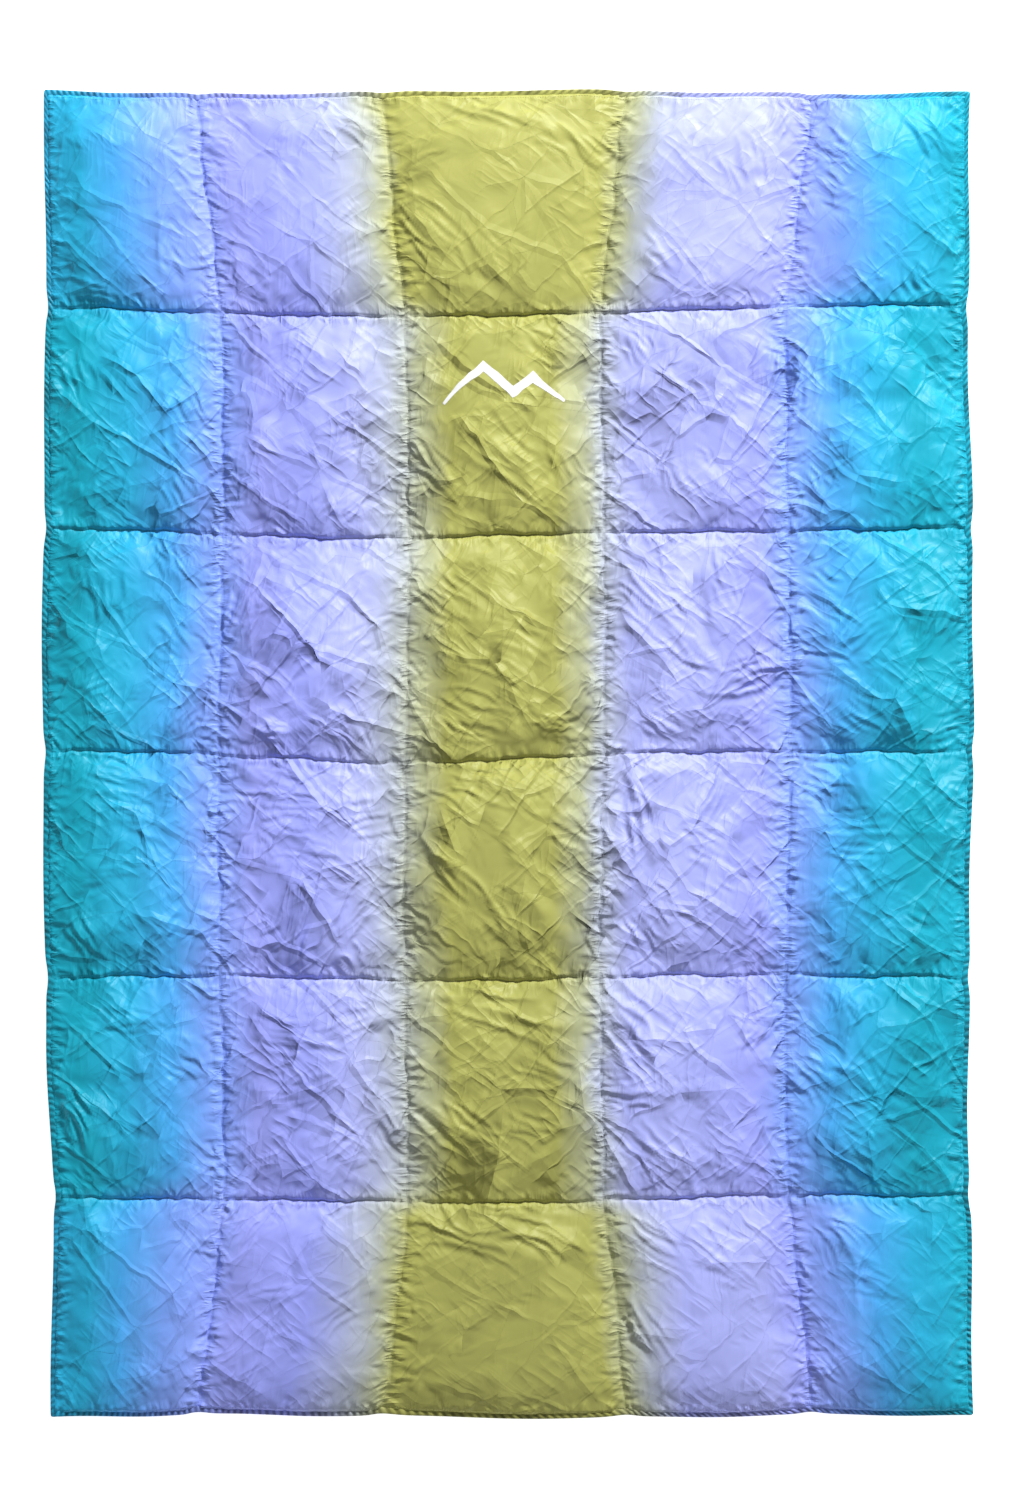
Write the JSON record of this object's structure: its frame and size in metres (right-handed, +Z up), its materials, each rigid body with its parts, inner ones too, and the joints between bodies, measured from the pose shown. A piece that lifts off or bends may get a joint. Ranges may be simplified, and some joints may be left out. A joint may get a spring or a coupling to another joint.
{
  "type": "camp blanket",
  "caption": "Thin rectangular down-filled camp blanket with sewn-through chambers and a narrow folded hem, which folds along its cross seams.",
  "frame": {"origin": "middle of the blanket's outline, on the floor that it lies on", "axes": "+X across the width, towards the right side as seen from above with the head end up; +Y along the length, towards the head end; +Z up, out of the face sheet"},
  "size_m": [1.4, 2, 0.0316],
  "materials": {
    "face_taffeta": "satin",
    "back_taffeta": "satin",
    "hem_taffeta": "satin",
    "down": "matte",
    "thread": "matte",
    "white_print": "matte"
  },
  "bodies": {
    "row_6": {"back_fabric_row_6": "back_taffeta", "face_fabric_row_6": "face_taffeta", "down_fill_row_6_chamber_1": "down", "down_fill_row_6_chamber_2": "down", "down_fill_row_6_chamber_3": "down", "down_fill_row_6_chamber_4": "down", "down_fill_row_6_chamber_5": "down", "quilting_thread_row_6": "thread", "hem_foot": "hem_taffeta"},
    "row_5": {"back_fabric_row_5": "back_taffeta", "face_fabric_row_5": "face_taffeta", "down_fill_row_5_chamber_1": "down", "down_fill_row_5_chamber_2": "down", "down_fill_row_5_chamber_3": "down", "down_fill_row_5_chamber_4": "down", "down_fill_row_5_chamber_5": "down", "quilting_thread_row_5": "thread", "hem_left_row_5": "hem_taffeta", "hem_right_row_5": "hem_taffeta"},
    "row_4": {"back_fabric_row_4": "back_taffeta", "face_fabric_row_4": "face_taffeta", "down_fill_row_4_chamber_1": "down", "down_fill_row_4_chamber_2": "down", "down_fill_row_4_chamber_3": "down", "down_fill_row_4_chamber_4": "down", "down_fill_row_4_chamber_5": "down", "quilting_thread_row_4": "thread", "hem_left_row_4": "hem_taffeta", "hem_right_row_4": "hem_taffeta"},
    "row_3": {"back_fabric_row_3": "back_taffeta", "face_fabric_row_3": "face_taffeta", "down_fill_row_3_chamber_1": "down", "down_fill_row_3_chamber_2": "down", "down_fill_row_3_chamber_3": "down", "down_fill_row_3_chamber_4": "down", "down_fill_row_3_chamber_5": "down", "quilting_thread_row_3": "thread", "hem_left_row_3": "hem_taffeta", "hem_right_row_3": "hem_taffeta"},
    "row_2": {"back_fabric_row_2": "back_taffeta", "face_fabric_row_2": "face_taffeta", "down_fill_row_2_chamber_1": "down", "down_fill_row_2_chamber_2": "down", "down_fill_row_2_chamber_3": "down", "down_fill_row_2_chamber_4": "down", "down_fill_row_2_chamber_5": "down", "quilting_thread_row_2": "thread", "hem_left_row_2": "hem_taffeta", "hem_right_row_2": "hem_taffeta", "printed_mark": "white_print"},
    "row_1": {"back_fabric_row_1": "back_taffeta", "face_fabric_row_1": "face_taffeta", "down_fill_row_1_chamber_1": "down", "down_fill_row_1_chamber_2": "down", "down_fill_row_1_chamber_3": "down", "down_fill_row_1_chamber_4": "down", "down_fill_row_1_chamber_5": "down", "quilting_thread_row_1": "thread", "hem_head": "hem_taffeta"}
  },
  "joints": [
    {"name": "fold_5_on_6", "type": "hinge", "parent": "row_6", "child": "row_5", "pos_m": [0, -0.66667, 0.006], "axis": [1, 0, 0], "range_deg": [0, 140]},
    {"name": "fold_4_on_5", "type": "hinge", "parent": "row_5", "child": "row_4", "pos_m": [0, -0.33333, 0.006], "axis": [1, 0, 0], "range_deg": [-140, 0]},
    {"name": "fold_3_on_4", "type": "hinge", "parent": "row_4", "child": "row_3", "pos_m": [0, 0, 0.006], "axis": [1, 0, 0], "range_deg": [0, 140]},
    {"name": "fold_2_on_3", "type": "hinge", "parent": "row_3", "child": "row_2", "pos_m": [0, 0.33333, 0.006], "axis": [1, 0, 0], "range_deg": [-140, 0]},
    {"name": "fold_1_on_2", "type": "hinge", "parent": "row_2", "child": "row_1", "pos_m": [0, 0.66667, 0.006], "axis": [1, 0, 0], "range_deg": [0, 140]}
  ],
  "couplings": [
    {"joint": "fold_4_on_5", "follows": "fold_5_on_6", "ratio": -1},
    {"joint": "fold_3_on_4", "follows": "fold_5_on_6", "ratio": 1},
    {"joint": "fold_2_on_3", "follows": "fold_5_on_6", "ratio": -1},
    {"joint": "fold_1_on_2", "follows": "fold_5_on_6", "ratio": 1}
  ]
}
